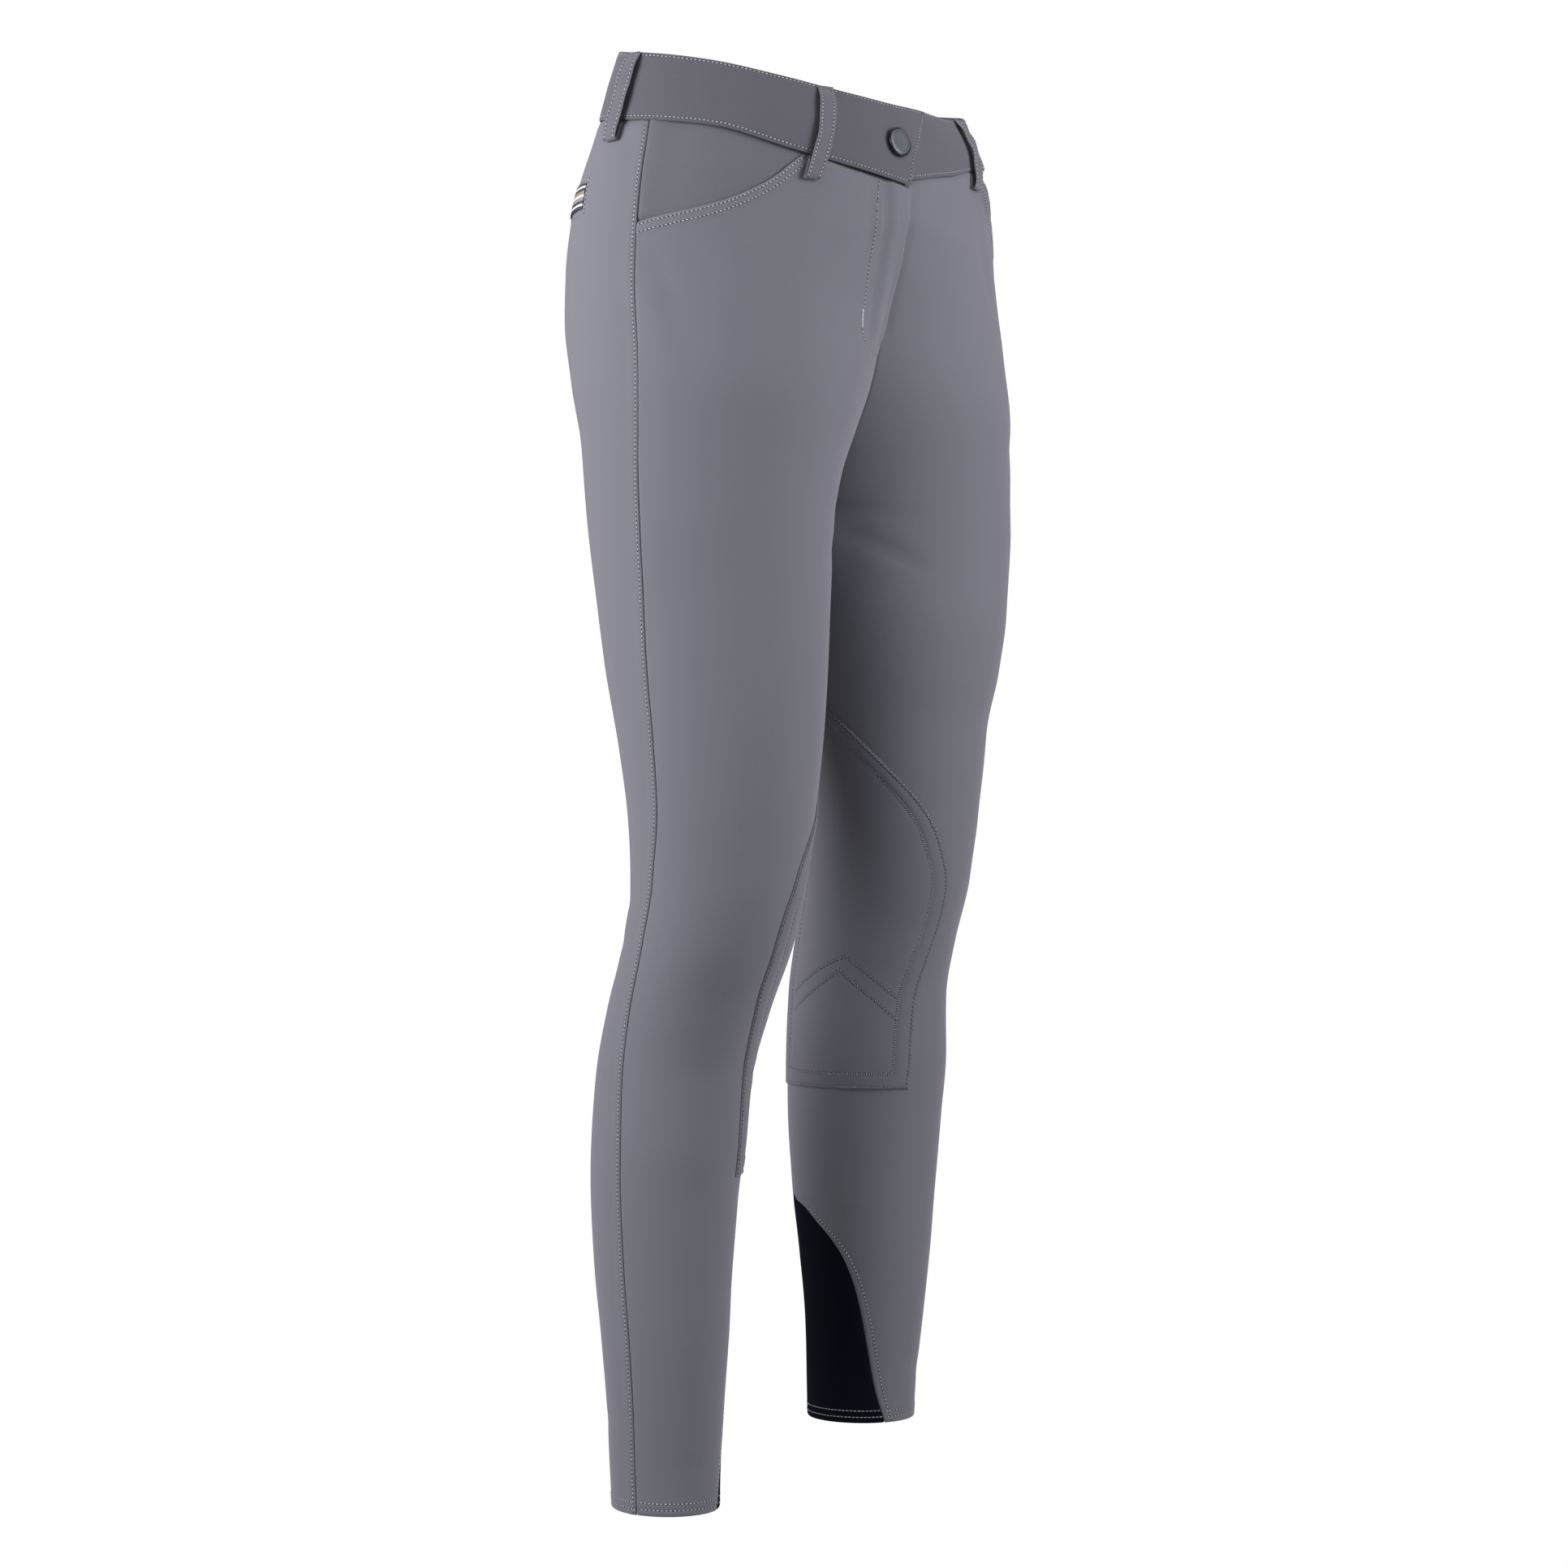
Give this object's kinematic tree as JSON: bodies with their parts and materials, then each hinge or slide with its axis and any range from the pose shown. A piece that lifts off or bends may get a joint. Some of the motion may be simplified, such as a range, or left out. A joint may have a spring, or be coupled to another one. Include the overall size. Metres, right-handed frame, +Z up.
{
  "type": "riding breeches",
  "caption": "Grey riding breeches, filled out with no wearer: button waistband with belt loops, slant pockets, striped back welts, knee patches and dark calf inserts.",
  "frame": {"origin": "the middle of the waist, inside the waistband, where the wearer holds the garment up", "axes": "+Z up the body, -Y the front, -X the wearer's right leg"},
  "size_m": [0.3605, 0.2305, 0.9737],
  "materials": {
    "main_cloth": "smooth matte",
    "stretch_insert": "fine matte knit",
    "stripe_tape": "woven, striped",
    "button": "satin, dark rim and paler face"
  },
  "bodies": {
    "root": {"front_right": "main_cloth", "front_left": "main_cloth", "back_right": "main_cloth", "back_left": "main_cloth", "pocket_bearer_right": "main_cloth", "pocket_bearer_left": "main_cloth", "waistband_right": "main_cloth", "waistband_left": "main_cloth", "loop_front_right": "main_cloth", "loop_front_left": "main_cloth", "loop_side_right": "main_cloth", "loop_side_left": "main_cloth", "loop_back": "main_cloth", "knee_patch_right": "main_cloth", "knee_patch_left": "main_cloth", "calf_insert_right": "stretch_insert", "calf_insert_left": "stretch_insert", "welt_right": "stripe_tape", "welt_left": "stripe_tape", "waist_button": "button"}
  },
  "joints": []
}
